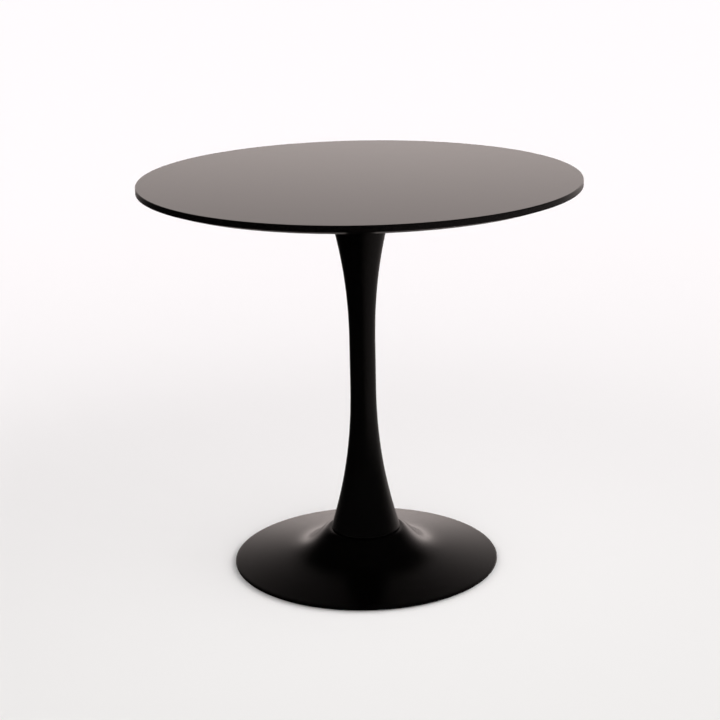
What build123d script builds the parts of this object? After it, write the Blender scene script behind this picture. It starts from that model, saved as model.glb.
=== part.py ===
from build123d import *
import os
from math import exp, radians, sin, cos, sqrt, tan

# Round pedestal table. Millimetres, +Z up, origin on the floor under the column's axis.
# A round board stands on a trumpet column and a flared pressed foot. One long tie rod clamps
# the mounting plate, column, foot shell and ballast together. Four screw glides level it.

# ---- driving dimensions ----------------------------------------------------------------------
table_height = 735.0
clearance = 0.05                # radial, between a thread and its hole
bolt_hole_clearance = 0.3       # radial, where a bolt only passes through
blind_hole_extra = 1.0          # depth left free beyond an insert or a screw's tip

top_diameter = 800.0
top_thickness = 18.0
top_band = 11.0                 # upright part of the board's edge
top_bevel_width = 20.0          # how far the bevel under the edge runs in
top_arris = 1.0

plate_diameter = 250.0
plate_thickness = 4.0
plate_round = 1.5
plate_bolt_circle = 205.0
plate_bolts = 8

insert_diameter = 9.0
insert_length = 11.0
insert_flange = 12.0
insert_flange_thickness = 1.0

bolt_diameter = 6.0
bolt_engagement = 10.0          # shank inside the insert
bolt_head = 12.0
bolt_head_height = 3.4
bolt_socket = 4.0               # across flats
bolt_socket_depth = 2.0
bolt_crown_radius = 3.0         # flat middle of a button head
bolt_washer = 13.0
bolt_washer_thickness = 1.2

column_waist_radius = 24.0
column_waist_low = 345.0        # the straight waist lies between these two heights
column_waist_high = 430.0
column_top_radius = 68.1
column_foot_radius = 64.9
column_flare_power = 2.13
column_outline_steps = 8
column_wall = 2.0

top_ring_thickness = 5.0
top_ring_hole = 40.0
foot_disc_thickness = 5.0

rod_diameter = 12.0
rod_chamfer = 1.5
rod_nut_flats = 18.0
rod_nut_height = 10.0
rod_washer = 37.0
rod_washer_thickness = 3.0
spring_washer = 21.0
spring_washer_thickness = 2.5
spring_washer_slit = 2.0

gasket_thickness = 1.0
gasket_inset = 1.6              # it stops short of the column's edge and leaves a shadow line
gasket_width = 14.0

foot_diameter = 497.0
foot_wall = 2.0
foot_slope = 8.0                # degrees, the long outer slope
foot_neck_radius = 70.0
foot_neck_height = 67.0
foot_neck_reach = 33.0          # how far out the neck runs into the slope
foot_neck_power = 1.8           # above 1 the neck keeps a full shoulder
foot_neck_lip = 2.6             # the flat seat turns down into the shoulder over this width
foot_outline_steps = 12
foot_outline_crowding = 1.8     # above 1 the outline's points crowd towards the neck
foot_rim_round = 2.6            # outside radius of the rolled rim
foot_rim_gap = 3.0              # rim above the floor

ballast_radius = 155.0
ballast_gap = 1.5               # between the casting and the shell
hub_radius = 42.0
hub_draft = 3.0
shelf_drop = 23.0               # from the hub's top down to the casting's shelf
shelf_radius = 88.0
pocket_radius = 27.0
pocket_depth = 24.0
casting_outline_steps = 8

cover_radius = 232.0
cover_thickness = 2.0
cover_floor_gap = 4.0
cover_access_radius = 25.0
cover_screws = 6
cover_screw_circle = 240.0
cover_screw_diameter = 6.0
cover_screw_engagement = 8.0
cover_screw_head = 12.0
cover_screw_head_height = 2.2
cover_screw_slot = 1.4

glides = 4
glide_start = 45.0              # degrees, the first glide's place round the axis
glide_circle = 350.0
glide_stud_diameter = 8.0
glide_stud_top = 14.8           # tip above the floor, screwed right in
glide_stud_chamfer = 0.8
glide_flange_diameter = 11.0
glide_flange_thickness = 1.6
glide_socket_skin = 1.4         # pad under the stud's flange
glide_key = 4.0                 # hexagon key, across flats
glide_key_depth = 5.0
glide_nut_flats = 13.0
glide_nut_height = 6.0
glide_pad_radius = 15.0
glide_pad_round = 1.2
glide_key_clearance = 0.6       # radial, round the key's corners

# ---- places that follow from them ------------------------------------------------------------
board_bottom = table_height - top_thickness
plate_bottom = board_bottom - plate_thickness
bolt_head_top = plate_bottom - bolt_washer_thickness
column_top = plate_bottom
column_foot = foot_neck_height + gasket_thickness
rod_hole_radius = rod_diameter / 2 + bolt_hole_clearance
rod_top = board_bottom - rod_chamfer
hub_top = foot_neck_height - foot_wall
shelf_height = hub_top - shelf_drop
foot_radius = foot_diameter / 2
rim_radius = foot_radius - foot_rim_round
rim_height = foot_rim_gap + foot_rim_round
slope_end = rim_radius + foot_rim_round * sin(radians(foot_slope))
slope_end_height = rim_height + foot_rim_round * cos(radians(foot_slope))
cover_top = cover_floor_gap + cover_thickness
pocket_top = cover_top + pocket_depth
rod_washer_bottom = pocket_top - rod_washer_thickness
spring_washer_bottom = rod_washer_bottom - spring_washer_thickness
rod_nut_bottom = spring_washer_bottom - rod_nut_height
rod_bottom = rod_nut_bottom - rod_chamfer
glide_flange_bottom = glide_socket_skin + clearance
glide_flange_top = glide_flange_bottom + glide_flange_thickness


# ---- helpers ---------------------------------------------------------------------------------
def turned(*edges):
    """A solid of revolution about +Z from an outline drawn as (radius, height)."""
    return revolve(Plane.XZ * Face(Wire(list(edges))), Axis.Z)


def lines(*points):
    """Straight edges from point to point."""
    return [Line(start, end) for start, end in zip(points, points[1:])]


def ring(outer, inner, low, high):
    """A flat ring, or a disc where the inner radius is 0."""
    corners = [(inner, low), (outer, low), (outer, high), (inner, high)]
    return turned(*lines(*corners, corners[0]))


def hexagon(flats, low, high):
    """A hexagonal bar between two heights."""
    return Pos(0, 0, low) * extrude(RegularPolygon(flats / 2, 6, major_radius=False), high - low)


def nut(flats, bore_diameter, low, high):
    """A hexagon nut with its corners turned off at both faces."""
    corner = flats / sqrt(3)
    turn_down = corner - flats / 2
    rounded = turned(*lines(
        (0, low), (flats / 2, low), (corner, low + turn_down / 2), (corner, high - turn_down / 2),
        (flats / 2, high), (0, high), (0, low)))
    bore = ring(bore_diameter / 2 + clearance, 0, low, high)
    return (hexagon(flats, low, high) & rounded) - bore


def spread(piece, count, circle, start=0.0):
    """Copies of a piece round the axis, on a circle of the given diameter."""
    turns = [start + 360.0 * step / count for step in range(count)]
    return [Rot(0, 0, turn) * Pos(circle / 2, 0, 0) * piece for turn in turns]


def write(node, *solids):
    """One STEP per named node; equal fasteners stay a group of separate solids."""
    shape = solids[0] if len(solids) == 1 else Compound(children=list(solids))
    shape.label = node
    export_step(shape, f"parts/{node}.step")


# ---- board and its inserts -------------------------------------------------------------------
def table_top():
    """Lacquered board: small arris, upright band, bevel below, blind holes for the inserts."""
    radius = top_diameter / 2
    band_bottom = table_height - top_band
    bevel_start = (radius - top_bevel_width, board_bottom)
    arris_start = (radius, table_height - top_arris)
    arris_end = (radius - top_arris, table_height)
    board = turned(
        *lines((0, table_height), (0, board_bottom), bevel_start, (radius, band_bottom), arris_start),
        RadiusArc(arris_start, arris_end, -top_arris),
        Line(arris_end, (0, table_height)))
    hole = ring(insert_diameter / 2, 0, board_bottom, board_bottom + insert_length + blind_hole_extra)
    seat = ring(insert_flange / 2, 0, board_bottom, board_bottom + insert_flange_thickness)
    return board - spread(hole + seat, plate_bolts, plate_bolt_circle)


def top_insert():
    """Threaded sleeve with a flange, flush with the board's underside."""
    bore = bolt_diameter / 2 + clearance
    sleeve = ring(insert_diameter / 2, bore, board_bottom, board_bottom + insert_length)
    flange = ring(insert_flange / 2, bore, board_bottom, board_bottom + insert_flange_thickness)
    return sleeve + flange


# ---- mounting plate and its bolts ------------------------------------------------------------
def mounting_plate():
    """Round steel plate under the board, lower edge rounded."""
    radius = plate_diameter / 2
    round_start = (radius - plate_round, plate_bottom)
    round_end = (radius, plate_bottom + plate_round)
    plate = turned(
        Line((rod_hole_radius, plate_bottom), round_start),
        RadiusArc(round_start, round_end, -plate_round),
        *lines(round_end, (radius, board_bottom), (rod_hole_radius, board_bottom),
               (rod_hole_radius, plate_bottom)))
    hole = ring(bolt_diameter / 2 + bolt_hole_clearance, 0, plate_bottom, board_bottom)
    return plate - spread(hole, plate_bolts, plate_bolt_circle)


def button_bolt(shank_diameter, shank_top, head_top, head_diameter, head_height):
    """Domed head below, shank above."""
    head_bottom = head_top - head_height
    rim = head_diameter / 2
    crown_end = (bolt_crown_radius, head_bottom)
    head = turned(
        Line((0, head_bottom), crown_end),
        Spline(crown_end, (rim, head_top), tangents=[(1, 0), (0, 1)]),
        *lines((rim, head_top), (0, head_top), (0, head_bottom)))
    return head + ring(shank_diameter / 2, 0, head_top, shank_top)


def plate_bolt():
    """Button head with a hexagon socket, driven from below."""
    bolt = button_bolt(
        bolt_diameter, board_bottom + bolt_engagement, bolt_head_top, bolt_head, bolt_head_height)
    head_bottom = bolt_head_top - bolt_head_height
    return bolt - hexagon(bolt_socket, head_bottom, head_bottom + bolt_socket_depth)


def plate_washer():
    bore = bolt_diameter / 2 + bolt_hole_clearance
    return ring(bolt_washer / 2, bore, bolt_head_top, plate_bottom)


# ---- column ----------------------------------------------------------------------------------
def column_radius(height):
    """Straight waist, opening towards each end as a power of the distance from it."""
    if height > column_waist_high:
        reach = (height - column_waist_high) / (column_top - column_waist_high)
        end_radius = column_top_radius
    else:
        reach = max(0.0, column_waist_low - height) / (column_waist_low - column_foot)
        end_radius = column_foot_radius
    return column_waist_radius + (end_radius - column_waist_radius) * reach ** column_flare_power


def flare(start, end, inset):
    """Smooth column outline between two heights, inset by a wall."""
    pace = (end - start) / column_outline_steps
    heights = [start + pace * step for step in range(column_outline_steps + 1)]
    return Spline([(column_radius(height) - inset, height) for height in heights])


def column_shell():
    """Spun steel trumpet, open at both ends until its ring and disc are welded in."""
    outer_low = flare(column_foot, column_waist_low, 0)
    outer_high = flare(column_waist_high, column_top, 0)
    inner_low = flare(column_foot, column_waist_low, column_wall)
    inner_high = flare(column_waist_high, column_top, column_wall)
    return turned(
        outer_low, Line(outer_low @ 1, outer_high @ 0), outer_high,
        Line(outer_high @ 1, inner_high @ 1),
        inner_high, Line(inner_high @ 0, inner_low @ 1), inner_low,
        Line(inner_low @ 0, outer_low @ 0))


def column_top_ring():
    """Ring welded in flush with the column's top; the plate bears on it."""
    low = column_top - top_ring_thickness
    return ring(column_radius(low) - column_wall, top_ring_hole / 2, low, column_top)


def column_foot_disc():
    """Disc welded in flush with the column's foot; it carries the clamp load to the foot."""
    high = column_foot + foot_disc_thickness
    return ring(column_radius(high) - column_wall, rod_hole_radius, column_foot, high)


# ---- tie rod and its nuts --------------------------------------------------------------------
def tie_rod():
    radius = rod_diameter / 2
    tip = radius - rod_chamfer
    return turned(*lines(
        (0, rod_bottom), (tip, rod_bottom), (radius, rod_bottom + rod_chamfer),
        (radius, rod_top - rod_chamfer), (tip, rod_top), (0, rod_top), (0, rod_bottom)))


def split_washer():
    """Spring washer with its slit."""
    bore = rod_diameter / 2 + bolt_hole_clearance
    washer = ring(spring_washer / 2, bore, spring_washer_bottom, rod_washer_bottom)
    slit_middle = (spring_washer_bottom + rod_washer_bottom) / 2
    slit = Pos(spring_washer / 2, 0, slit_middle) * Box(
        spring_washer, spring_washer_slit, spring_washer_thickness)
    return washer - slit


# ---- foot ------------------------------------------------------------------------------------
def foot_slope_line(radius):
    """Height of the straight outer slope, carried inwards."""
    return slope_end_height + (slope_end - radius) * tan(radians(foot_slope))


def foot_neck(radius):
    """Height of the neck above that slope: a full shoulder that dies away."""
    start = foot_neck_height - foot_neck_lip * tan(radians(foot_slope / 2))
    reach = (radius - foot_neck_radius) / foot_neck_reach
    return (start - foot_slope_line(foot_neck_radius)) * exp(-reach ** foot_neck_power)


def foot_height(radius):
    return foot_slope_line(radius) + foot_neck(radius)


def foot_rise(radius):
    """Change of height with radius, used to step inwards at right angles to the skin."""
    reach = (radius - foot_neck_radius) / foot_neck_reach
    fall = foot_neck_power / foot_neck_reach * reach ** (foot_neck_power - 1)
    return -tan(radians(foot_slope)) - foot_neck(radius) * fall


def foot_skin(depth):
    """Outline of the flare, a given depth below the outer skin, from the neck to the rim."""
    points = []
    for step in range(foot_outline_steps + 1):
        share = (step / foot_outline_steps) ** foot_outline_crowding
        radius = foot_neck_radius + (slope_end - foot_neck_radius) * share
        rise = foot_rise(radius)
        length = sqrt(1 + rise * rise)
        points.append((radius + depth * rise / length, foot_height(radius) - depth / length))
    return Spline(points)


def foot_shell():
    """Pressed steel: seat and neck lip at the centre, long flare, rim rolled under."""
    outer = foot_skin(0)
    inner = foot_skin(foot_wall)
    lip_start = (foot_neck_radius - foot_neck_lip, foot_neck_height)
    lip_inside = (foot_neck_radius - foot_neck_lip, hub_top)
    rim_bottom = (rim_radius, foot_rim_gap)
    rim_inside = (rim_radius, foot_rim_gap + foot_wall)
    outward = (cos(radians(foot_slope)), -sin(radians(foot_slope)))
    rim_outer = TangentArc(outer @ 1, rim_bottom, tangent=outward)
    rim_inner = TangentArc(inner @ 1, rim_inside, tangent=outward)
    neck_outer = Spline(lip_start, outer @ 0, tangents=[(1, 0), outer % 0])
    neck_inner = Spline(lip_inside, inner @ 0, tangents=[(1, 0), inner % 0])
    return turned(
        Line((rod_hole_radius, foot_neck_height), lip_start), neck_outer, outer, rim_outer,
        Line(rim_bottom, rim_inside), rim_inner, inner, neck_inner,
        Line(lip_inside, (rod_hole_radius, hub_top)),
        Line((rod_hole_radius, hub_top), (rod_hole_radius, foot_neck_height)))


def foot_gasket():
    """Rubber ring between column and foot, set back from the edge."""
    outer = column_foot_radius - gasket_inset
    return ring(outer, outer - gasket_width, foot_neck_height, column_foot)


def ballast():
    """Cast-iron weight: hub up to the neck's seat, shelf, and a slope that follows the shell."""
    depth = foot_wall + ballast_gap
    top_points = []
    for step in range(casting_outline_steps + 1):
        radius = shelf_radius + (ballast_radius - shelf_radius) * step / casting_outline_steps
        top_points.append((radius, min(shelf_height, foot_height(radius) - depth)))
    slope = Spline(top_points)
    casting = turned(
        *lines((rod_hole_radius, cover_top), (rod_hole_radius, hub_top), (hub_radius, hub_top),
               (hub_radius + hub_draft, shelf_height), top_points[0]),
        slope,
        *lines(top_points[-1], (ballast_radius, cover_top), (rod_hole_radius, cover_top)))
    casting -= ring(pocket_radius, 0, cover_top, pocket_top)
    tapped_top = cover_top + cover_screw_engagement + blind_hole_extra
    tapped = ring(cover_screw_diameter / 2 + clearance, 0, cover_top, tapped_top)
    return casting - spread(tapped, cover_screws, cover_screw_circle)


def bottom_cover():
    """Steel disc under the ballast with the glide holes and the hole for the tie rod's nut."""
    cover = ring(cover_radius, cover_access_radius, cover_floor_gap, cover_top)
    screw_hole = ring(
        cover_screw_diameter / 2 + bolt_hole_clearance, 0, cover_floor_gap, cover_top)
    stud_hole = ring(glide_stud_diameter / 2 + bolt_hole_clearance, 0, cover_floor_gap, cover_top)
    cover -= spread(screw_hole, cover_screws, cover_screw_circle)
    return cover - spread(stud_hole, glides, glide_circle, glide_start)


def cover_screw():
    """Slotted low button head, driven from below."""
    head_bottom = cover_floor_gap - cover_screw_head_height
    screw = button_bolt(
        cover_screw_diameter, cover_top + cover_screw_engagement, cover_floor_gap,
        cover_screw_head, cover_screw_head_height)
    return screw - Pos(0, 0, head_bottom) * Box(
        cover_screw_head, cover_screw_slot, cover_screw_head_height)


# ---- glides ----------------------------------------------------------------------------------
def glide_stud():
    """Threaded stud with a flange held in the pad, and a key socket reached from below."""
    radius = glide_stud_diameter / 2
    flange = ring(glide_flange_diameter / 2, 0, glide_flange_bottom, glide_flange_top)
    shank = turned(*lines(
        (0, glide_flange_top), (radius, glide_flange_top),
        (radius, glide_stud_top - glide_stud_chamfer),
        (radius - glide_stud_chamfer, glide_stud_top), (0, glide_stud_top), (0, glide_flange_top)))
    return flange + shank - hexagon(
        glide_key, glide_flange_bottom, glide_flange_bottom + glide_key_depth)


def glide_pad():
    """Nylon foot, open in the middle for the key, undercut to hold the stud's flange."""
    round_start = (glide_pad_radius - glide_pad_round, 0)
    round_end = (glide_pad_radius, glide_pad_round)
    key_hole = glide_key / sqrt(3) + glide_key_clearance
    undercut = glide_flange_diameter / 2 + clearance
    throat = glide_stud_diameter / 2 + clearance
    return turned(
        Line((key_hole, 0), round_start),
        RadiusArc(round_start, round_end, -glide_pad_round),
        *lines(round_end, (glide_pad_radius, cover_floor_gap), (throat, cover_floor_gap),
               (throat, glide_flange_top + clearance), (undercut, glide_flange_top + clearance),
               (undercut, glide_socket_skin), (key_hole, glide_socket_skin), (key_hole, 0)))


# ---- write every node ------------------------------------------------------------------------
os.makedirs("parts", exist_ok=True)

write("table_top", table_top())
write("top_inserts", *spread(top_insert(), plate_bolts, plate_bolt_circle))
write("mounting_plate", mounting_plate())
write("plate_bolts", *spread(plate_bolt(), plate_bolts, plate_bolt_circle))
write("plate_washers", *spread(plate_washer(), plate_bolts, plate_bolt_circle))
write("plate_weld_nut", nut(rod_nut_flats, rod_diameter, plate_bottom - rod_nut_height, plate_bottom))
write("column_shell", column_shell())
write("column_top_ring", column_top_ring())
write("column_foot_disc", column_foot_disc())
write("tie_rod", tie_rod())
write("rod_nut", nut(rod_nut_flats, rod_diameter, rod_nut_bottom, spring_washer_bottom))
write("rod_spring_washer", split_washer())
write("rod_washer", ring(rod_washer / 2, rod_hole_radius, rod_washer_bottom, pocket_top))
write("foot_gasket", foot_gasket())
write("foot_shell", foot_shell())
write("ballast", ballast())
write("bottom_cover", bottom_cover())
write("cover_screws", *spread(cover_screw(), cover_screws, cover_screw_circle))
write("glide_nuts", *spread(
    nut(glide_nut_flats, glide_stud_diameter, cover_top, cover_top + glide_nut_height),
    glides, glide_circle, glide_start))
for number, stud in enumerate(spread(glide_stud(), glides, glide_circle, glide_start), start=1):
    write(f"glide_stud_{number}", stud)
for number, pad in enumerate(spread(glide_pad(), glides, glide_circle, glide_start), start=1):
    write(f"glide_pad_{number}", pad)
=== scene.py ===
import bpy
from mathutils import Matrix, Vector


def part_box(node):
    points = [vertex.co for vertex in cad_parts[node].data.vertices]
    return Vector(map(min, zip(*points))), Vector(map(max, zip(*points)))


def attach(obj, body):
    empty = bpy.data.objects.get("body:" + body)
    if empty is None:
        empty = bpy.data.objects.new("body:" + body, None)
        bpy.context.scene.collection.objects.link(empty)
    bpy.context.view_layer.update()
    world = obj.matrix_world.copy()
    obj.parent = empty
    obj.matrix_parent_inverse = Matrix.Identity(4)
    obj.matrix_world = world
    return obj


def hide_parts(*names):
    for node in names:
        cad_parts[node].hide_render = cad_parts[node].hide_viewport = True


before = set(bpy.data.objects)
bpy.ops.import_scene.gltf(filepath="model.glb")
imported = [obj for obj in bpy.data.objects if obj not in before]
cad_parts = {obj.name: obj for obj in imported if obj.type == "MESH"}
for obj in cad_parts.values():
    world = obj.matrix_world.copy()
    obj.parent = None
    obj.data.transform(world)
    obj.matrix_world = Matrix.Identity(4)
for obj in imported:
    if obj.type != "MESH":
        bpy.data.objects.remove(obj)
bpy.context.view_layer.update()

from math import pi, radians

import bpy
import numpy as np
from mathutils import Matrix

print("frame loaded:", len(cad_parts), "nodes")


# Fills a mesh from arrays: points (n, 3), and faces as rows of point numbers, all of one length.
def meshFromArrays(name, points, *faceSets):
    mesh = bpy.data.meshes.new(name)
    corners = np.concatenate([faces.reshape(-1) for faces in faceSets])
    sizes = np.concatenate([np.full(len(faces), faces.shape[1]) for faces in faceSets])
    mesh.vertices.add(len(points))
    mesh.vertices.foreach_set("co", points.astype(np.float32).reshape(-1))
    mesh.loops.add(len(corners))
    mesh.loops.foreach_set("vertex_index", corners.astype(np.int32))
    mesh.polygons.add(len(sizes))
    mesh.polygons.foreach_set("loop_start", (np.cumsum(sizes) - sizes).astype(np.int32))
    mesh.polygons.foreach_set("loop_total", sizes.astype(np.int32))
    mesh.polygons.foreach_set("use_smooth", np.ones(len(sizes), bool))
    mesh.update(calc_edges=True)
    mesh.validate()
    piece = bpy.data.objects.new(name, mesh)
    bpy.context.scene.collection.objects.link(piece)
    return piece


# Rings of points joined to the next ring: point (i, j) is number i * around + j.
def ringFaces(rings, around, closed=False):
    rows = np.arange(rings if closed else rings - 1)
    across = np.arange(around)
    row, column = np.meshgrid(rows, across, indexing="ij")
    nextRow = (row + 1) % rings
    nextColumn = (column + 1) % around
    quads = np.stack([row * around + column, nextRow * around + column,
                      nextRow * around + nextColumn, row * around + nextColumn], axis=-1)
    return quads.reshape(-1, 4)


nearAxis = 1e-7                   # an outline point closer than this is a pole


# Turned surface: the outline (radius, height) swept about a vertical axis,
# x = radius * cos(angle), y = radius * sin(angle). An end on the axis becomes a pole.
# sideShape(radius, height, angle) may give another radius, for hexagons and threads.
def turnedArrays(outline, around, sideShape=None):
    outline = np.asarray(outline, float)
    angle = np.linspace(0, 2 * pi, around, endpoint=False)
    onAxis = outline[:, 0] < nearAxis
    body = outline[~onAxis]
    radius = body[:, 0][:, None] * np.ones(around)
    height = body[:, 1][:, None] * np.ones(around)
    if sideShape is not None:
        radius = sideShape(radius, height, angle[None, :])
    points = np.stack([radius * np.cos(angle), radius * np.sin(angle), height], axis=-1).reshape(-1, 3)
    faceSets = [ringFaces(len(body), around, closed=not onAxis.any())]
    here = np.arange(around)
    following = (here + 1) % around
    if onAxis[0]:
        pole = np.full(around, len(points))
        points = np.vstack([points, [0, 0, outline[0, 1]]])
        faceSets.append(np.stack([pole, here, following], axis=-1))
    if onAxis[-1]:
        pole = np.full(around, len(points))
        points = np.vstack([points, [0, 0, outline[-1, 1]]])
        last = (len(body) - 1) * around
        faceSets.append(np.stack([pole, last + following, last + here], axis=-1))
    return points, faceSets


# A turned surface as a piece of its own.
def turnedSkin(name, outline, around, sideShape=None):
    points, faceSets = turnedArrays(outline, around, sideShape)
    return meshFromArrays(name, points, *faceSets)


# The same turned piece repeated: copy k is turned by its angle and moved out onto the circle.
def turnedCopies(name, outline, around, angles, circle, sideShape=None):
    points, faceSets = turnedArrays(outline, around, sideShape)
    cosine, sine = np.cos(angles)[:, None], np.sin(angles)[:, None]
    out, along, height = points[:, 0] + circle, points[:, 1], points[:, 2]
    copies = np.stack([cosine * out - sine * along, sine * out + cosine * along,
                       np.ones_like(cosine) * height], axis=-1).reshape(-1, 3)
    shift = np.arange(len(angles))[:, None, None] * len(points)
    shifted = [(faces + shift).reshape(-1, faces.shape[1]) for faces in faceSets]
    return meshFromArrays(name, copies, *shifted)


# Outline with rounded corners: each corner (radius, height, round) gives an arc tangent to both
# sides, and the flats get a support point just beyond the arc so that shading stays crisp.
def roundedOutline(corners, steps=6, support=0.0006, closed=False):
    corners = np.asarray(corners, float)
    count = len(corners)
    parts = []
    for index in range(count):
        point, bend = corners[index, :2], corners[index, 2]
        if bend <= 0 or (not closed and index in (0, count - 1)):
            parts.append(point[None, :])
            continue
        before = corners[index - 1, :2] - point
        after = corners[(index + 1) % count, :2] - point
        before /= np.linalg.norm(before)
        after /= np.linalg.norm(after)
        half = np.arccos(np.clip(before @ after, -1, 1)) / 2
        reach = bend / np.tan(half)
        middle = (before + after) / np.linalg.norm(before + after)
        centre = point + middle * bend / np.sin(half)
        start = point + before * reach - centre
        end = point + after * reach - centre
        share = np.linspace(0, 1, steps)[:, None]
        swing = pi - 2 * half
        arc = (np.sin((1 - share) * swing) * start + np.sin(share * swing) * end) / np.sin(swing)
        first = point + before * (reach + support)
        last = point + after * (reach + support)
        parts.append(np.vstack([first, centre + arc, last]))
    return np.vstack(parts)


lowTop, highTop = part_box("table_top")
lowColumn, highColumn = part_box("column_shell")
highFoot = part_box("foot_shell")[1]
lowPlate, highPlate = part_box("mounting_plate")
print("sizes read: board", round(highTop.x * 2, 4), "foot", round(highFoot.x * 2, 4))

board = {
    "around": 512,
    "band": 0.011,            # upright edge
    "bevelRun": 0.020,        # bevel under the edge
    "arris": 0.0010,
    "bandRound": 0.0006,
    "innerRound": 0.0015,
    "flatRings": (0.10, 0.20, 0.30, 0.37),
}
edge, top, under = highTop.x, highTop.z, lowTop.z
boardOutline = np.vstack([
    [(0, top)],
    [(ring, top) for ring in board["flatRings"]],
    roundedOutline([
        (board["flatRings"][-1], top, 0),
        (edge, top, board["arris"]),
        (edge, top - board["band"], board["bandRound"]),
        (edge - board["bevelRun"], under, board["innerRound"]),
        (board["flatRings"][-1], under, 0),
    ])[1:],
    [(ring, under) for ring in board["flatRings"][-2::-1]],
    [(0, under)],
])
boardSkin = turnedSkin("boardSkin", boardOutline, board["around"])
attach(boardSkin, "table")
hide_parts("table_top")
print("board turned:", len(boardSkin.data.polygons), "faces")

column = {
    "around": 192,
    "rows": 72,               # on the inside, twice as many outside
    "waist": 0.0240,
    "waistLow": 0.345,
    "waistHigh": 0.430,
    "topRadius": 0.0681,
    "footRadius": 0.0649,
    "power": 2.13,            # how sharply the ends open
    "wall": 0.002,
    "endRound": 0.0007,
    "endInset": 0.00112,      # the walls stop this far from the ends, where the rounds begin
    "endSupport": 0.0001,
}


# Trumpet radius: waist + (end - waist) * reach ** power, where reach runs from 0 at the
# straight waist to 1 at the end of the column.
def trumpetRadius(height):
    up = np.clip((height - column["waistHigh"]) / (highColumn.z - column["waistHigh"]), 0, 1)
    down = np.clip((column["waistLow"] - height) / (column["waistLow"] - lowColumn.z), 0, 1)
    opened = (column["topRadius"] - column["waist"]) * up ** column["power"]
    return column["waist"] + opened + (column["footRadius"] - column["waist"]) * down ** column["power"]


# Heights crowded towards both ends: height = low + span * (1 - cos(pi * share)) / 2.
def crowdedHeights(low, high, rows):
    return low + (high - low) * (1 - np.cos(np.linspace(0, pi, rows))) / 2


inset = column["endInset"]
outerHeights = crowdedHeights(highColumn.z - inset, lowColumn.z + inset, column["rows"] * 2)
outerWall = np.stack([trumpetRadius(outerHeights), outerHeights], axis=-1)
innerHeights = crowdedHeights(lowColumn.z + inset, highColumn.z - inset, column["rows"])
innerWall = np.stack([trumpetRadius(innerHeights) - column["wall"], innerHeights], axis=-1)
footEnd = roundedOutline([
    (*outerWall[-1], 0),
    (trumpetRadius(lowColumn.z), lowColumn.z, column["endRound"]),
    (trumpetRadius(lowColumn.z) - column["wall"], lowColumn.z, column["endRound"] / 2),
    (*innerWall[0], 0),
], support=column["endSupport"])[1:-1]
topEnd = roundedOutline([
    (*innerWall[-1], 0),
    (trumpetRadius(highColumn.z) - column["wall"], highColumn.z, column["endRound"] / 2),
    (trumpetRadius(highColumn.z), highColumn.z, column["endRound"]),
    (*outerWall[0], 0),
], support=column["endSupport"])[1:-1]
columnOutline = np.vstack([outerWall, footEnd, innerWall, topEnd])
columnSkin = turnedSkin("columnSkin", columnOutline, column["around"])
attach(columnSkin, "table")
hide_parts("column_shell")
print("column spun:", len(columnSkin.data.polygons), "faces")

foot = {
    "around": 384,
    "rows": 96,               # on the outside, half as many inside
    "crowding": 1.8,          # above 1 the rows crowd towards the neck
    "lipRows": (9, 6),        # outside and inside
    "rimRows": 16,
    "wall": 0.002,
    "slope": 8.0,             # degrees
    "neckRadius": 0.0700,
    "neckReach": 0.033,
    "neckPower": 1.8,
    "lip": 0.0026,
    "rimRound": 0.0026,
    "rodHole": 0.0063,
    "seatRing": 0.03,         # extra ring on the flat seat
    "rimGap": 0.003,          # rim above the floor
}
rimCentre = (highFoot.x - foot["rimRound"], foot["rimGap"] + foot["rimRound"])
slopeTan = np.tan(radians(foot["slope"]))
slopeEnd = rimCentre[0] + foot["rimRound"] * np.sin(radians(foot["slope"]))
slopeEndHeight = rimCentre[1] + foot["rimRound"] * np.cos(radians(foot["slope"]))
neckStart = highFoot.z - foot["lip"] * np.tan(radians(foot["slope"] / 2))
neckRise = neckStart - slopeEndHeight - (slopeEnd - foot["neckRadius"]) * slopeTan


# Flare height: a straight slope plus a full-shouldered neck that dies away,
# height = slope line + rise * exp(-away ** power), where away = (radius - neck radius) / reach.
def flareNeck(radius):
    away = (radius - foot["neckRadius"]) / foot["neckReach"]
    return neckRise * np.exp(-away ** foot["neckPower"])


# The straight slope from the rim inwards, with the neck on it.
def flareHeight(radius):
    return slopeEndHeight + (slopeEnd - radius) * slopeTan + flareNeck(radius)


# A skin at a depth below the flare: each point moves against its normal (-height', 1).
def flareSkin(depth, rows):
    share = np.linspace(0, 1, rows) ** foot["crowding"]
    radius = foot["neckRadius"] + (slopeEnd - foot["neckRadius"]) * share
    away = (radius - foot["neckRadius"]) / foot["neckReach"]
    fall = foot["neckPower"] / foot["neckReach"] * away ** (foot["neckPower"] - 1)
    rise = -slopeTan - flareNeck(radius) * fall
    length = np.sqrt(1 + rise ** 2)
    return np.stack([radius + depth * rise / length, flareHeight(radius) - depth / length], axis=-1)


# Cubic blend between two points with given directions (Hermite curve).
def blendCurve(start, end, startWay, endWay, rows):
    start, end = np.asarray(start, float), np.asarray(end, float)
    size = np.linalg.norm(end - start)
    startWay = np.asarray(startWay, float) / np.linalg.norm(startWay) * size
    endWay = np.asarray(endWay, float) / np.linalg.norm(endWay) * size
    share = np.linspace(0, 1, rows)[:, None]
    square, cube = share ** 2, share ** 3
    return ((2 * cube - 3 * square + 1) * start + (cube - 2 * square + share) * startWay
            + (3 * square - 2 * cube) * end + (cube - square) * endWay)


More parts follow.
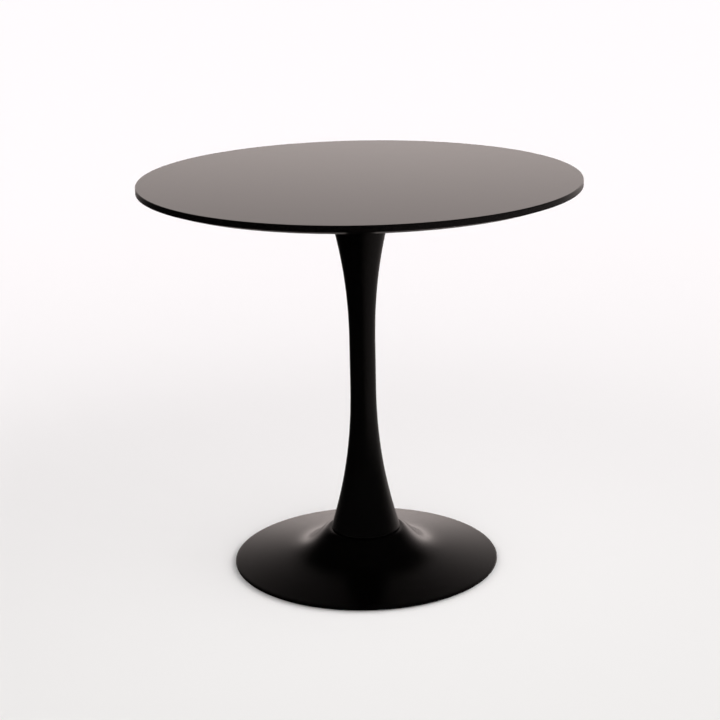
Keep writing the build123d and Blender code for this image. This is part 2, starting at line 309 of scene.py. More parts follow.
outerFlare = flareSkin(0, foot["rows"])
innerFlare = flareSkin(foot["wall"], foot["rows"] // 2)
lipRadius, underSeat = foot["neckRadius"] - foot["lip"], highFoot.z - foot["wall"]
lipOuter = blendCurve((lipRadius, highFoot.z), outerFlare[0],
                      (1, 0), outerFlare[1] - outerFlare[0], foot["lipRows"][0])
lipInner = blendCurve((lipRadius, underSeat), innerFlare[0],
                      (1, 0), innerFlare[1] - innerFlare[0], foot["lipRows"][1])
rimTurn = np.linspace(pi / 2 - radians(foot["slope"]), -pi / 2, foot["rimRows"])
rimOuter = np.stack([rimCentre[0] + foot["rimRound"] * np.cos(rimTurn),
                     rimCentre[1] + foot["rimRound"] * np.sin(rimTurn)], axis=-1)
rimInside = foot["rimRound"] - foot["wall"]
insideTurn = rimTurn[::-3]            # the tight inside needs a third of the rows
rimInner = np.stack([rimCentre[0] + rimInside * np.cos(insideTurn),
                     rimCentre[1] + rimInside * np.sin(insideTurn)], axis=-1)
footOutline = np.vstack([
    [(foot["rodHole"], highFoot.z), (foot["seatRing"], highFoot.z)],
    lipOuter[:-1], outerFlare, rimOuter[1:],
    rimInner[:-1], innerFlare[::-1], lipInner[-2::-1],
    [(foot["seatRing"], underSeat), (foot["rodHole"], underSeat)],
])
footSkin = turnedSkin("footSkin", footOutline, foot["around"])
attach(footSkin, "table")
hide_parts("foot_shell")
print("foot pressed:", len(footSkin.data.polygons), "faces")


# Reach of a hexagon at an angle: (flats / 2) / cos(angle mod 60 deg - 30 deg).
def hexReach(flats, angle):
    return flats / 2 / np.cos(angle % (pi / 3) - pi / 6)


thread = {"steepness": 2.9, "flat": 0.25, "beyond": 1.0}    # beyond: metres, past any end


# Rolled thread: radius - depth * wave, where wave is a triangle wave of
# height / pitch - angle / 360 deg, steepened and clipped to flats. It fades out over one pitch.
def threaded(radius, height, angle, pitch, depth, low, high):
    phase = (height / pitch - angle / (2 * pi)) % 1.0
    wave = np.clip(thread["steepness"] * np.abs(phase - 0.5) - thread["flat"], 0, 1)
    fade = np.clip((height - low) / pitch, 0, 1) * np.clip((high - height) / pitch, 0, 1)
    return radius - depth * wave * fade


# Rows of a thread, a few for each pitch, from the top down.
def threadRows(low, high, pitch, rowsPerPitch):
    return np.linspace(high, low, int((high - low) / pitch * rowsPerPitch) + 1)


bolt = {
    "count": 8,
    "around": 72,
    "flats": 0.004,           # key socket, across flats
    "socketDepth": 0.0020,
    "socketRounds": (0.00015, 0.0002),    # mouth and root
    "crown": 0.003,
    "head": 0.006,
    "headHeight": 0.0034,
    "headEdge": 0.0003,       # upright edge of the head
    "headRound": 0.0001,
    "domeRows": 14,
    "shank": 0.003,
    "tipChamfer": 0.0006,
    "circle": 0.1025,
}
washer = {"around": 72, "outer": 0.0065, "bore": 0.0033, "edge": 0.0003}

fineSupport = 0.00005         # support points this far beyond the smallest rounds


# Button head: radius = crown + (head - crown) * sin(turn), and the dome drops from the upright
# edge by (head height - edge) * cos(turn), with turn going from 90 degrees at the edge to 0.
def buttonOutline(seat, tip):
    low = seat - bolt["headHeight"]
    socketEnd = low + bolt["socketDepth"]
    turn = np.linspace(pi / 2, 0, bolt["domeRows"])
    domeRise = (bolt["headHeight"] - bolt["headEdge"]) * np.cos(turn)
    dome = np.stack([bolt["crown"] + (bolt["head"] - bolt["crown"]) * np.sin(turn),
                     seat - bolt["headEdge"] - domeRise], axis=-1)
    mouth, root = bolt["socketRounds"]
    socket = roundedOutline([
        (bolt["crown"], low, 0), (bolt["flats"] / 2, low, mouth),
        (bolt["flats"] / 2, socketEnd, root), (0, socketEnd, 0)],
        steps=4, support=fineSupport)[1:]
    shank = [(0, tip), (bolt["shank"] - bolt["tipChamfer"], tip),
             (bolt["shank"], tip - bolt["tipChamfer"]), (bolt["shank"], seat)]
    return np.vstack([shank, [(bolt["head"] - bolt["headRound"], seat)], dome, socket])


# The key socket: rows inside the crown go over from round to hexagonal towards the middle,
# radius * (1 + share * (hexagon reach - 1)), where share runs from 0 at the crown to 1.
def keySocket(flats, fadeEnd):
    def shape(radius, height, angle):
        share = np.clip((fadeEnd - radius) / (fadeEnd - flats / 2), 0, 1)
        return radius * (1 + share * (hexReach(2.0, angle) - 1))
    return shape


# Only the head has the socket; the shank stays round.
def buttonShape(radius, height, angle):
    inHead = height < lowPlate.z
    return np.where(inHead, keySocket(bolt["flats"], bolt["crown"])(radius, height, angle), radius)


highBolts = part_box("plate_bolts")[1]
lowWashers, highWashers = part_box("plate_washers")
boltAngles = np.arange(bolt["count"]) * 2 * pi / bolt["count"]
boltHeads = turnedCopies("plateBolts", buttonOutline(lowWashers.z, highBolts.z), bolt["around"],
                         boltAngles, bolt["circle"], buttonShape)
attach(boltHeads, "table")
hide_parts("plate_bolts")


# Flat ring with softened edges, from the top outer corner down, in and up.
def ringOutline(outer, inner, low, high, edge):
    corners = [(outer, high, edge), (outer, low, edge), (inner, low, edge), (inner, high, edge)]
    return roundedOutline(corners, steps=4, support=0.0001, closed=True)


washerSet = turnedCopies("plateWashers", ringOutline(
    washer["outer"], washer["bore"], lowWashers.z, highWashers.z, washer["edge"]),
    washer["around"], boltAngles, bolt["circle"])
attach(washerSet, "table")
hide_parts("plate_washers")

plate = {"around": 256, "bore": 0.0063, "lowerRound": 0.0015, "upperRound": 0.0003, "boreRound": 0.0002}
plateSkin = turnedSkin("plateSkin", roundedOutline([
    (highPlate.x, highPlate.z, plate["upperRound"]),
    (highPlate.x, lowPlate.z, plate["lowerRound"]),
    (plate["bore"], lowPlate.z, plate["boreRound"]),
    (plate["bore"], highPlate.z, plate["boreRound"]),
], closed=True), plate["around"])
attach(plateSkin, "table")
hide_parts("mounting_plate")
print("plate bolted:", len(boltHeads.data.polygons), "faces")

rod = {
    "around": 48, "rowsPerPitch": 8,
    "pitch": 0.00175, "depth": 0.0009,
    "lowThread": 0.045,       # threaded length at the foot
    "highThread": 0.020,
    "chamfer": 0.0015,
}
lowRod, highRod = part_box("tie_rod")
rodRadius = highRod.x

lowThreadTop, highThreadFoot = lowRod.z + rod["lowThread"], highRod.z - rod["highThread"]


# Rod: the smallest of the plain radius, both threads and a 45 degree chamfer at each end.
def rodShape(radius, height, angle):
    low = threaded(radius, height, angle, rod["pitch"], rod["depth"],
                   lowRod.z - thread["beyond"], lowThreadTop)
    high = threaded(radius, height, angle, rod["pitch"], rod["depth"],
                    highThreadFoot, highRod.z + thread["beyond"])
    ends = rodRadius - rod["chamfer"] + np.minimum(height - lowRod.z, highRod.z - height)
    return np.minimum(np.minimum(low, high), np.minimum(ends, radius))


rodRows = np.concatenate([
    threadRows(highThreadFoot, highRod.z, rod["pitch"], rod["rowsPerPitch"]),
    threadRows(lowRod.z, lowThreadTop, rod["pitch"], rod["rowsPerPitch"])])
rodSide = np.stack([np.full(len(rodRows), rodRadius), rodRows], axis=-1)
rodOutline = np.vstack([[(0, highRod.z)], rodSide, [(0, lowRod.z)]])
rodSkin = turnedSkin("tieRod", rodOutline, rod["around"], rodShape)
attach(rodSkin, "table")
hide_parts("tie_rod")

nut = {
    "around": 96,
    "flats": 0.018,
    "faceRing": 0.0082,       # where the flat faces end
    "bore": 0.00605,
    "lead": 0.0006,           # chamfer at the bore's mouths
    "coneStart": 0.97,        # share of the flats left at each face
    "coneRise": 1.73,         # steepness of the 30 degree chamfer
    "chamferBand": 0.16,      # of the height, where the rows are close
    "chamferRows": 9,
    "plainBand": (0.8, 0.2),
    "plainRows": 4,
    "sideFrom": 0.45,         # rows beyond this share of the flats are the hexagon's sides
}
lowNut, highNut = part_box("rod_nut")


# Hexagon nut: the side is the smaller of the hexagon and a 30 degree cone at each face.
def nutShape(radius, height, angle):
    fromFace = np.minimum(height - lowNut.z, highNut.z - height)
    cone = nut["flats"] / 2 * nut["coneStart"] + fromFace * nut["coneRise"]
    side = np.minimum(hexReach(nut["flats"], angle), cone)
    return np.where(radius > nut["flats"] * nut["sideFrom"], side, radius)


nutSide = lowNut.z + (highNut.z - lowNut.z) * np.concatenate([
    np.linspace(1, 1 - nut["chamferBand"], nut["chamferRows"]),
    np.linspace(*nut["plainBand"], nut["plainRows"]),
    np.linspace(nut["chamferBand"], 0, nut["chamferRows"])])
mouth = nut["bore"] + nut["lead"]
rodNut = turnedSkin("rodNut", np.vstack([
    [(nut["faceRing"], highNut.z)],
    np.stack([np.full(len(nutSide), nut["flats"] / 2), nutSide], axis=-1),
    [(nut["faceRing"], lowNut.z), (mouth, lowNut.z), (nut["bore"], lowNut.z + nut["lead"])],
    [(nut["bore"], highNut.z - nut["lead"]), (mouth, highNut.z)],
]), nut["around"], nutShape)
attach(rodNut, "table")
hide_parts("rod_nut")

bigWasher = {"around": 96, "bore": 0.0063, "edge": 0.0005}
lowRodWasher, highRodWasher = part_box("rod_washer")
bigWasherOutline = ringOutline(
    highRodWasher.x, bigWasher["bore"], lowRodWasher.z, highRodWasher.z, bigWasher["edge"])
rodWasher = turnedSkin("rodWasher", bigWasherOutline, bigWasher["around"])
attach(rodWasher, "table")
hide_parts("rod_washer")

gasket = {"around": 192, "width": 0.014, "edge": 0.0004}
lowGasket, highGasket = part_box("foot_gasket")
gasketOutline = ringOutline(
    highGasket.x, highGasket.x - gasket["width"], lowGasket.z, highGasket.z, gasket["edge"])
gasketSkin = turnedSkin("footGasket", gasketOutline, gasket["around"])
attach(gasketSkin, "table")
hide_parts("foot_gasket")
print("rod and nut made:", len(rodSkin.data.polygons), "faces")

glide = {
    "numbers": range(1, 5),
    "studAround": 48, "padAround": 128,
    "pitch": 0.00125, "depth": 0.0007, "rowsPerPitch": 8,
    "stud": 0.004, "flange": 0.0055, "flangeThickness": 0.0016,
    "flangeRound": 0.0002,
    "runOut": 0.0002,         # plain shank between flange and thread
    "chamfer": 0.0008,
    "flats": 0.004, "socketDepth": 0.005, "socketRound": 0.0001,
    "socketWithin": 0.55,     # of the flats, rows nearer than this are the socket's
    "socketFade": 0.7,        # of the flats, where it has gone over to round
    "endRows": 0.001,         # the stud's far end has no socket
    "pad": 0.015, "padRound": 0.0012, "padTopRound": 0.0004,
    "keyHole": 0.0029, "keyHoleRound": 0.0003,
    "skin": 0.0014,           # pad left under the stud's flange
    "recessRound": 0.0001, "throatRound": 0.0002,
    "gap": 0.00005,
}


# Stud: thread and end chamfer on the shank, hexagon in the socket, round elsewhere.
def studShape(low, high):
    def shape(radius, height, angle):
        flangeTop = low + glide["flangeThickness"]
        cut = threaded(radius, height, angle, glide["pitch"], glide["depth"],
                       flangeTop + glide["runOut"], high + thread["beyond"])
        end = np.minimum(cut, glide["stud"] - glide["chamfer"] + high - height)
        inSocket = (radius < glide["flats"] * glide["socketWithin"]) & (height < high - glide["endRows"])
        socket = keySocket(glide["flats"], glide["flats"] * glide["socketFade"])(radius, height, angle)
        onShank = (height > flangeTop + glide["runOut"] / 2) & ~inSocket
        return np.where(onShank, end, np.where(inSocket, socket, radius))
    return shape


# Down the shank, round the flange, and up into the key socket.
def studOutline(low, high):
    flangeTop = low + glide["flangeThickness"]
    rows = threadRows(flangeTop + glide["runOut"], high, glide["pitch"], glide["rowsPerPitch"])
    shank = np.stack([np.full(len(rows), glide["stud"]), rows], axis=-1)
    socketTop = low + glide["socketDepth"]
    flange = roundedOutline([
        (glide["stud"], flangeTop, 0),
        (glide["flange"], flangeTop, glide["flangeRound"]),
        (glide["flange"], low, glide["flangeRound"]),
        (glide["flats"] / 2, low, glide["socketRound"]),
        (glide["flats"] / 2, socketTop, glide["socketRound"]),
        (0, socketTop, 0),
    ], steps=4, support=fineSupport)
    return np.vstack([[(0, high)], shank, flange])


# Down the outside, in under the pad, up the key hole, and round the flange's recess.
def padOutline(studLow, high):
    flangeTop = studLow + glide["flangeThickness"] + glide["gap"]
    throat = glide["stud"] + glide["gap"]
    undercut = glide["flange"] + glide["gap"]
    return roundedOutline([
        (glide["pad"], high, glide["padTopRound"]),
        (glide["pad"], 0, glide["padRound"]),
        (glide["keyHole"], 0, glide["keyHoleRound"]),
        (glide["keyHole"], glide["skin"], glide["recessRound"]),
        (undercut, glide["skin"], glide["recessRound"]),
        (undercut, flangeTop, glide["recessRound"]),
        (throat, flangeTop, glide["recessRound"]),
        (throat, high, glide["throatRound"]),
    ], steps=5, support=fineSupport, closed=True)


glidePieces = []
for number in glide["numbers"]:
    lowStud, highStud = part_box(f"glide_stud_{number}")
    lowPad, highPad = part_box(f"glide_pad_{number}")
    spot = (np.array(lowPad) + np.array(highPad)) / 2
    circle = np.hypot(spot[0], spot[1])
    angles = np.array([np.arctan2(spot[1], spot[0])])
    stud = turnedCopies(f"glideStud{number}", studOutline(lowStud.z, highStud.z), glide["studAround"],
                        angles, circle, studShape(lowStud.z, highStud.z))
    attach(stud, f"stud_{number}")
    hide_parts(f"glide_stud_{number}")
    pad = turnedCopies(f"glidePad{number}", padOutline(lowStud.z, highPad.z), glide["padAround"],
                       angles, circle)
    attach(pad, f"pad_{number}")
    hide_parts(f"glide_pad_{number}")
    glidePieces.append((stud, pad))
print("glides made:", len(glidePieces))


mixFirst, mixSecond, mixResult = 6, 7, 2      # the colour sockets of a Mix node, which share their names


# A new node with its sockets set by name; a tuple (node, socket) links instead.
def addNode(tree, kind, settings=None, **sockets):
    node = tree.nodes.new(kind)
    for name, value in (settings or {}).items():
        setattr(node, name, value)
    for name, value in sockets.items():
        target = node.inputs[name.replace("_", " ")]
        if isinstance(value, tuple) and isinstance(value[0], bpy.types.Node):
            tree.links.new(value[0].outputs[value[1]], target)
        else:
            target.default_value = value
    return node


# An empty finish: its material, node tree, shader and coordinates.
def newFinish(name):
    finish = bpy.data.materials.new(name)
    finish.use_nodes = True
    shader = finish.node_tree.nodes["Principled BSDF"]
    place = finish.node_tree.nodes.new("ShaderNodeTexCoord")
    return finish, finish.node_tree, shader, place


noiseSpan = (0.3, 0.7)        # most of a noise's values lie between these


# Noise on Object coordinates.
def noiseAt(tree, place, scale, detail):
    return addNode(tree, "ShaderNodeTexNoise", Vector=(place, "Object"), Scale=scale, Detail=detail)


# Noise spread between two numbers, fed to the shader's roughness.
def roughen(tree, shader, place, scale, span):
    noise = noiseAt(tree, place, scale, 4.0)
    spread = addNode(tree, "ShaderNodeMapRange", Value=(noise, "Fac"), From_Min=noiseSpan[0],
                     From_Max=noiseSpan[1], To_Min=span[0], To_Max=span[1])
    tree.links.new(spread.outputs["Result"], shader.inputs["Roughness"])


# Colour between two tones by a noise; gives the socket to link.
def mixTones(tree, noise, deep, pale):
    mix = addNode(tree, "ShaderNodeMix", {"data_type": "RGBA"})
    spread = addNode(tree, "ShaderNodeMapRange", Value=(noise, "Fac"), From_Min=noiseSpan[0],
                     From_Max=noiseSpan[1])
    tree.links.new(spread.outputs["Result"], mix.inputs["Factor"])
    mix.inputs[mixFirst].default_value = deep
    mix.inputs[mixSecond].default_value = pale
    return mix.outputs[mixResult]


# Relief from a height, over the relief below it if there is one.
def bump(tree, height, strength, distance, below=None):
    node = addNode(tree, "ShaderNodeBump", Strength=strength, Distance=distance, Height=height)
    if below is not None:
        tree.links.new(below.outputs["Normal"], node.inputs["Normal"])
    return node


# Gives a piece one finish only.
def paint(piece, finish):
    piece.data.materials.clear()
    piece.data.materials.append(finish)


# Sprayed blacks: near-black clouds, gloss that drifts, orange peel and a finer grain over it.
blackCoats = {
    "boardLacquer": {
        "deep": (0.0012, 0.0010, 0.0010, 1), "pale": (0.0019, 0.0015, 0.0014, 1), "clouds": 9.0,
        "rough": (0.135, 0.155), "drift": 38.0,
        "peel": 240.0, "peelStrength": 0.012, "peelDepth": 0.0004,    # about 4 mm across
        "fine": 1500.0, "fineStrength": 0.010},
    "blackPowder": {
        "deep": (0.0006, 0.0005, 0.0005, 1), "pale": (0.0011, 0.0009, 0.0009, 1), "clouds": 14.0,
        "rough": (0.16, 0.20), "drift": 60.0,
        "peel": 420.0, "peelStrength": 0.020, "peelDepth": 0.0003,    # about 2 mm across
        "fine": 1900.0, "fineStrength": 0.012},
}
fineDepth = 0.0001            # metres, the height of the finest grain


def blackCoat(name):
    look = blackCoats[name]
    finish, tree, shader, place = newFinish(name)
    clouds = noiseAt(tree, place, look["clouds"], 3.0)
    tint = addNode(tree, "ShaderNodeMix", {"data_type": "RGBA"})
    tree.links.new(clouds.outputs["Fac"], tint.inputs["Factor"])
    tint.inputs[mixFirst].default_value = look["deep"]
    tint.inputs[mixSecond].default_value = look["pale"]
    tree.links.new(tint.outputs[mixResult], shader.inputs["Base Color"])
    roughen(tree, shader, place, look["drift"], look["rough"])
    peel, fine = noiseAt(tree, place, look["peel"], 1.0), noiseAt(tree, place, look["fine"], 2.0)
    broad = bump(tree, (peel, "Fac"), look["peelStrength"], look["peelDepth"])
    relief = bump(tree, (fine, "Fac"), look["fineStrength"], fineDepth, broad)
    tree.links.new(relief.outputs["Normal"], shader.inputs["Normal"])
    return finish


# Bright zinc: bluish and yellowish clouds, handling marks in the roughness.
zinc = {
    "cool": (0.50, 0.53, 0.56, 1), "warm": (0.62, 0.60, 0.54, 1), "clouds": 160.0,
    "rough": (0.24, 0.42), "marks": 700.0,
    "fine": 2600.0, "fineStrength": 0.12,
}


def zincPlate():
    finish, tree, shader, place = newFinish("zincPlate")
    clouds = noiseAt(tree, place, zinc["clouds"], 4.0)
    tree.links.new(mixTones(tree, clouds, zinc["cool"], zinc["warm"]), shader.inputs["Base Color"])
    shader.inputs["Metallic"].default_value = 1.0
    roughen(tree, shader, place, zinc["marks"], zinc["rough"])
    relief = bump(tree, (noiseAt(tree, place, zinc["fine"], 3.0), "Fac"), zinc["fineStrength"], fineDepth)
    tree.links.new(relief.outputs["Normal"], shader.inputs["Normal"])
    return finish


# Plain steel, drawn along its length: noise stretched along the axis.
steel = {
    "dark": (0.30, 0.29, 0.28, 1), "pale": (0.46, 0.45, 0.44, 1),
    "stretch": (1.0, 1.0, 0.06), "streaks": 900.0, "streakStrength": 0.20,
    "rough": (0.32, 0.52), "wear": 120.0,
}


def bareSteel():
    finish, tree, shader, place = newFinish("bareSteel")
    stretch = addNode(tree, "ShaderNodeMapping", Vector=(place, "Object"), Scale=steel["stretch"])
    streaks = addNode(tree, "ShaderNodeTexNoise", Vector=(stretch, "Vector"),
                      Scale=steel["streaks"], Detail=5.0)
    tree.links.new(mixTones(tree, streaks, steel["dark"], steel["pale"]), shader.inputs["Base Color"])
    shader.inputs["Metallic"].default_value = 1.0
    roughen(tree, shader, place, steel["wear"], steel["rough"])
    relief = bump(tree, (streaks, "Fac"), steel["streakStrength"], fineDepth)
    tree.links.new(relief.outputs["Normal"], shader.inputs["Normal"])
    return finish


# Sand casting: pitted skin, dull, with darker hollows, over broad lumps.
casting = {
    "hollow": (0.045, 0.041, 0.038, 1), "crest": (0.110, 0.103, 0.096, 1), "metallic": 0.7,
    "sand": 520.0, "sandStrength": 0.55, "sandDepth": 0.0004,
    "lumps": 90.0, "lumpStrength": 0.35, "lumpDepth": 0.0012,
    "rough": (0.55, 0.80), "patches": 260.0,
}


def castIron():
    finish, tree, shader, place = newFinish("castIron")
    sand = noiseAt(tree, place, casting["sand"], 6.0)
    tree.links.new(mixTones(tree, sand, casting["hollow"], casting["crest"]), shader.inputs["Base Color"])
    shader.inputs["Metallic"].default_value = casting["metallic"]
    roughen(tree, shader, place, casting["patches"], casting["rough"])
    lumps = noiseAt(tree, place, casting["lumps"], 3.0)
    broad = bump(tree, (lumps, "Fac"), casting["lumpStrength"], casting["lumpDepth"])
    relief = bump(tree, (sand, "Fac"), casting["sandStrength"], casting["sandDepth"], broad)
    tree.links.new(relief.outputs["Normal"], shader.inputs["Normal"])
    return finish


# Soft black goods: rubber is dull and dusty, nylon has a faint moulded sheen, cover paint is matte.
softBlacks = {
    "gasketRubber": {"deep": (0.004, 0.004, 0.004, 1), "pale": (0.010, 0.010, 0.010, 1),
                     "rough": (0.66, 0.84), "cloud": 60.0, "fine": 1800.0, "relief": 0.20},
    "glideNylon": {"deep": (0.016, 0.016, 0.017, 1), "pale": (0.028, 0.028, 0.030, 1),
                   "rough": (0.38, 0.52), "cloud": 120.0, "fine": 2400.0, "relief": 0.14},
    "coverPaint": {"deep": (0.017, 0.017, 0.017, 1), "pale": (0.032, 0.031, 0.031, 1),
                   "rough": (0.46, 0.62), "cloud": 22.0, "fine": 1500.0, "relief": 0.16},
}


def softBlack(name):
    look = softBlacks[name]
    finish, tree, shader, place = newFinish(name)
    clouds = noiseAt(tree, place, look["cloud"], 5.0)
    tree.links.new(mixTones(tree, clouds, look["deep"], look["pale"]), shader.inputs["Base Color"])
    roughen(tree, shader, place, look["cloud"] * 2, look["rough"])
    relief = bump(tree, (noiseAt(tree, place, look["fine"], 3.0), "Fac"), look["relief"], fineDepth)
    tree.links.new(relief.outputs["Normal"], shader.inputs["Normal"])
    return finish


lacquerFinish, powderFinish = [blackCoat(name) for name in blackCoats]
zincFinish = zincPlate()
steelFinish = bareSteel()
ironFinish = castIron()
rubberFinish, nylonFinish, coverFinish = [softBlack(name) for name in softBlacks]
studs, pads = zip(*glidePieces)
for finish, pieces in [
        (lacquerFinish, [boardSkin, "table_top"]),
        (powderFinish, [columnSkin, footSkin, plateSkin, "column_shell", "foot_shell", "mounting_plate"]),
        (zincFinish, [boltHeads, washerSet, rodSkin, rodNut, rodWasher, *studs,
                      "top_inserts", "plate_bolts", "plate_washers", "tie_rod", "rod_nut",
                      "rod_spring_washer", "rod_washer", "cover_screws", "glide_nuts",
                      *[f"glide_stud_{number}" for number in glide["numbers"]]]),
        (steelFinish, ["plate_weld_nut", "column_top_ring", "column_foot_disc"]),
        (ironFinish, ["ballast"]),
        (rubberFinish, [gasketSkin, "foot_gasket"]),
        (nylonFinish, [*pads, *[f"glide_pad_{number}" for number in glide["numbers"]]]),
        (coverFinish, ["bottom_cover"])]:
    for piece in pieces:
        paint(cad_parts[piece] if isinstance(piece, str) else piece, finish)
print("finishes mixed")

room = {
    "nearFloor": 1.15,        # radius of the floor near the table
    "farFloor": 60.0,
    "floorAround": 128,
    "floorRings": 4,
    "nearTone": (0.835, 0.825, 0.812, 1),
    # painted light: the far tone is the paper painted paler where the backdrop is lit brighter
    "farPaintedLightTone": (0.965, 0.925, 0.940, 1),
    "paintedLightFrom": -2.2,         # painted light: the paper is painted paler between these distances back, standing in for a brighter lit backdrop
    "paintedLightTo": 3.6,
    "keyStrength": 0.16,
    "keySpread": 55.0,        # degrees, a very broad soft source
    "keyHigh": 58.0,
    "keyAround": 125.0,       # from the right and a little in front
    "fill": 2.30,             # light that the floor gets from low down all round
    "fillTop": (0.85, 0.50),  # it fades in from the first height down to the second
    "fillTowards": (0.90, -0.43, 0.0),    # the fill comes more from the right and front
    "fillLow": 0.35,
    "tint": (1.0, 0.885, 0.850, 1),
    "glow": 1.12,
    "glowTowards": (0.259, 0.966, 0.0),   # the bright wall, slightly right of straight behind
    "wallHeights": [(0.0, 0.05), (0.30, 0.16), (0.40, 0.26), (0.46, 0.50), (0.495, 1.10), (0.54, 1.18),
                    (0.578, 1.00), (0.600, 0.66), (0.68, 0.33), (0.81, 0.04), (1.0, 0.01)],
    "wallAround": [(0.0, 0.015), (0.34, 0.055), (0.545, 0.14), (0.755, 0.42), (0.906, 0.90), (0.96, 1.0)],
    "floorGlow": 0.17,        # gloss from the floor, at the far right
    "floorGlowFrom": (-0.05, -0.25),      # it fades in between these heights
}


# Flat ring of floor between two radii: x = radius * cos(angle), y = radius * sin(angle).
def floorRing(name, inner, outer):
    radii = np.linspace(inner, outer, room["floorRings"])
    body = radii[radii > 0][:, None]
    around = room["floorAround"]
    angle = np.linspace(0, 2 * pi, around, endpoint=False)
    points = np.stack([body * np.cos(angle), body * np.sin(angle),
                       np.zeros((len(body), around))], axis=-1).reshape(-1, 3)
    faceSets = [ringFaces(len(body), around)]
    if inner == 0:
        here = np.arange(around)
        points = np.vstack([points, [0, 0, 0]])
        middle = np.full(around, len(points) - 1)
        faceSets.append(np.stack([middle, here, (here + 1) % around], axis=-1))
    ring = meshFromArrays(name, points, *faceSets)
    return ring


# Painted light: the paper's colour gets paler and warmer towards the back, standing in for the brighter
# lit backdrop far behind.
def floorPaintedLight():
    finish, tree, shader, place = newFinish("paperPaintedLight")
    parts = addNode(tree, "ShaderNodeSeparateXYZ", Vector=(place, "Object"))
    away = addNode(tree, "ShaderNodeMapRange", {"interpolation_type": "SMOOTHSTEP"},
                   Value=(parts, "Y"), From_Min=room["paintedLightFrom"], From_Max=room["paintedLightTo"])
    tint = addNode(tree, "ShaderNodeMix", {"data_type": "RGBA"})
    tree.links.new(away.outputs["Result"], tint.inputs["Factor"])
    tint.inputs[mixFirst].default_value = room["nearTone"]
    tint.inputs[mixSecond].default_value = room["farPaintedLightTone"]
    tree.links.new(tint.outputs[mixResult], shader.inputs["Base Color"])
    shader.inputs["Specular IOR Level"].default_value = 0.0
    shader.inputs["Roughness"].default_value = 0.9
    return finish


paperPaintedLightFinish = floorPaintedLight()
nearFloor = floorRing("nearFloor", 0, room["nearFloor"])
farFloor = floorRing("farFloor", room["nearFloor"], room["farFloor"])
for piece in (nearFloor, farFloor):
    paint(piece, paperPaintedLightFinish)
    piece.visible_glossy = False      # the gloss mirrors the room, not the paper

keyLight = bpy.data.lights.new("keyLight", "SUN")
keyLight.energy = room["keyStrength"]
keyLight.angle = radians(room["keySpread"])
keyLamp = bpy.data.objects.new("keyLight", keyLight)
aim = (Matrix.Rotation(-radians(room["keyAround"]), 4, "Z")
       @ Matrix.Rotation(-radians(90 - room["keyHigh"]), 4, "X"))
keyLamp.rotation_euler = aim.to_euler()
keyLamp.visible_glossy = False
bpy.context.scene.collection.objects.link(keyLamp)


# Two outputs joined by a Math node; gives its output.
def joined(tree, operation, first, second):
    node = addNode(tree, "ShaderNodeMath", {"operation": operation})
    tree.links.new(first, node.inputs[0])
    tree.links.new(second, node.inputs[1])
    return node.outputs["Value"]


# How far the light's direction points towards another: their dot product.
def facing(tree, place, towards):
    node = addNode(tree, "ShaderNodeVectorMath", {"operation": "DOT_PRODUCT"})
    tree.links.new(place.outputs["Generated"], node.inputs[0])
    node.inputs[1].default_value = towards
    return node


# Brightness read off a ramp of stops (place, tone).
def rampOf(tree, source, stops):
    node = addNode(tree, "ShaderNodeValToRGB", Fac=source)
    ramp = node.color_ramp
    while len(ramp.elements) < len(stops):
        ramp.elements.new(0.5)
    for element, (place, tone) in zip(ramp.elements, stops):
        element.position = place
        element.color = (tone, tone, tone, 1)
    return node.outputs["Color"]


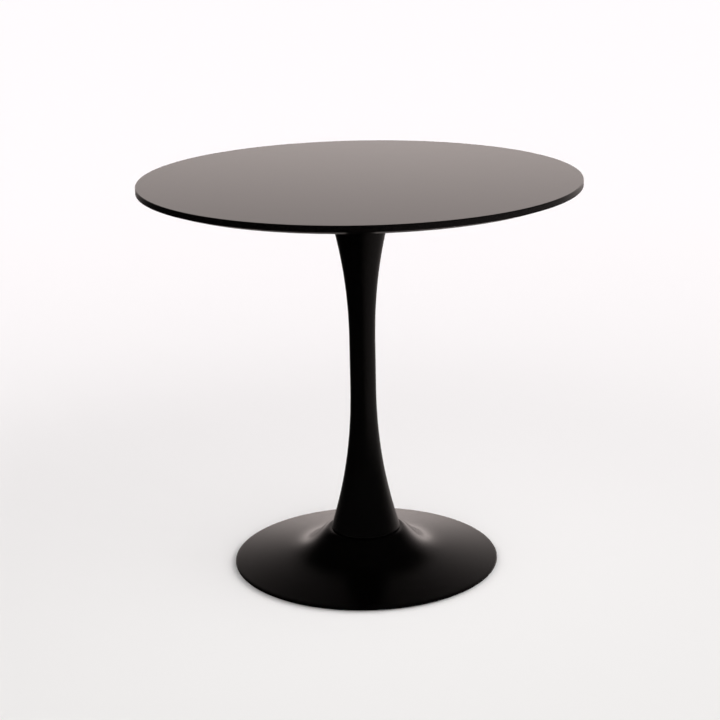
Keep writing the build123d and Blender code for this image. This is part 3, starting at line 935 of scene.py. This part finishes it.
# The room's light. What shows in the gloss is a bright wall behind, falling off upwards and to
# the sides, and a little floor light from the right. The paper is lit from low down all round.
def roomLight():
    world = bpy.data.worlds.new("room")
    bpy.context.scene.world = world
    world.use_nodes = True
    tree = world.node_tree
    place = tree.nodes.new("ShaderNodeTexCoord")
    parts = addNode(tree, "ShaderNodeSeparateXYZ", Vector=(place, "Generated"))
    height = addNode(tree, "ShaderNodeMapRange", Value=(parts, "Z"), From_Min=-1.0, From_Max=1.0)
    wall = rampOf(tree, (height, "Result"), room["wallHeights"])
    around = rampOf(tree, (facing(tree, place, room["glowTowards"]), "Value"), room["wallAround"])
    wallLight = joined(tree, "MULTIPLY", wall, around)
    low = addNode(tree, "ShaderNodeMapRange", {"interpolation_type": "SMOOTHSTEP"}, Value=(parts, "Z"),
                  From_Min=room["floorGlowFrom"][0], From_Max=room["floorGlowFrom"][1])
    right = addNode(tree, "ShaderNodeMapRange", Value=(parts, "X"), To_Max=room["floorGlow"])
    floorLight = joined(tree, "MULTIPLY", low.outputs["Result"], right.outputs["Result"])
    glow = addNode(tree, "ShaderNodeMath", {"operation": "MULTIPLY"})
    tree.links.new(joined(tree, "ADD", wallLight, floorLight), glow.inputs[0])
    glow.inputs[1].default_value = room["glow"]
    warm = addNode(tree, "ShaderNodeMix", {"data_type": "RGBA", "blend_type": "MULTIPLY"}, Factor=1.0)
    tree.links.new(glow.outputs["Value"], warm.inputs[mixFirst])
    warm.inputs[mixSecond].default_value = room["tint"]
    dome = addNode(tree, "ShaderNodeMapRange", {"interpolation_type": "SMOOTHSTEP"}, Value=(parts, "Z"),
                   From_Min=room["fillTop"][0], From_Max=room["fillTop"][1], To_Max=room["fill"])
    lean = addNode(tree, "ShaderNodeMapRange", Value=(facing(tree, place, room["fillTowards"]), "Value"),
                   From_Min=-1.0, To_Min=room["fillLow"], To_Max=2.0 - room["fillLow"])
    fill = joined(tree, "MULTIPLY", dome.outputs["Result"], lean.outputs["Result"])
    ray = tree.nodes.new("ShaderNodeLightPath")
    chosen = addNode(tree, "ShaderNodeMix", {"data_type": "RGBA"})
    tree.links.new(ray.outputs["Is Diffuse Ray"], chosen.inputs["Factor"])
    tree.links.new(warm.outputs[mixResult], chosen.inputs[mixFirst])
    tree.links.new(fill, chosen.inputs[mixSecond])
    tree.links.new(chosen.outputs[mixResult], tree.nodes["Background"].inputs["Color"])


roomLight()

lens = {
    "place": (0.0, -3.2204, 1.3497),
    "down": 16.520,           # degrees, as are the next two
    "aside": -0.088,
    "lean": -1.129,
    "focal": 90.96,           # millimetres, as is the sensor
    "sensor": 36,
}
cameraData = bpy.data.cameras.new("camera")
cameraData.lens = lens["focal"]
cameraData.sensor_width = lens["sensor"]
camera = bpy.data.objects.new("camera", cameraData)
bpy.context.scene.collection.objects.link(camera)
camera.location = lens["place"]
turn = (Matrix.Rotation(-radians(lens["aside"]), 4, "Z")
        @ Matrix.Rotation(radians(90 - lens["down"]), 4, "X")
        @ Matrix.Rotation(radians(lens["lean"]), 4, "Z"))
camera.rotation_euler = turn.to_euler()
bpy.context.scene.camera = camera
bpy.context.scene.view_settings.view_transform = "Standard"
print("room and camera set")
